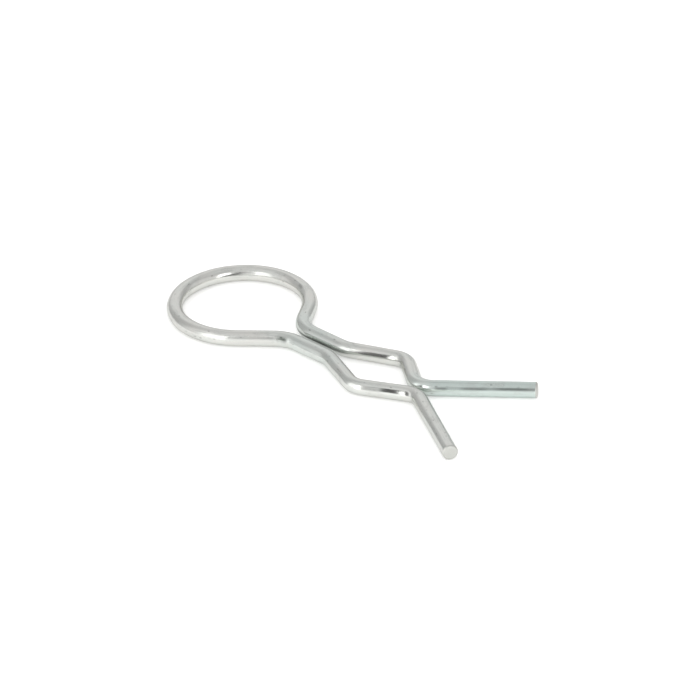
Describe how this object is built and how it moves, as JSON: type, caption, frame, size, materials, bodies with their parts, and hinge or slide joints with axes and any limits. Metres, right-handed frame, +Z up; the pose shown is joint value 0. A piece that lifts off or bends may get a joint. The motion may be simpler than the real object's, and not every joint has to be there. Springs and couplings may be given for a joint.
{
  "type": "hitch pin spring clip",
  "caption": "Flat clip bent from round spring wire: a pull ring, a narrow neck, a four-sided seat that snaps onto a hitch pin, a pinch and flared tails.",
  "frame": {"origin": "middle of the pin seat, between its side corners, on the plane that the clip lies on", "axes": "+X along the clip from the pull ring to the tails, +Y across it to the left leg, +Z up along the axis of the pin that the clip snaps onto"},
  "size_m": [0.0822, 0.0294, 0.003],
  "materials": {
    "plated_wire": "bright zinc-plated spring wire"
  },
  "bodies": {
    "root": {"spring_clip": "plated_wire"}
  },
  "joints": []
}
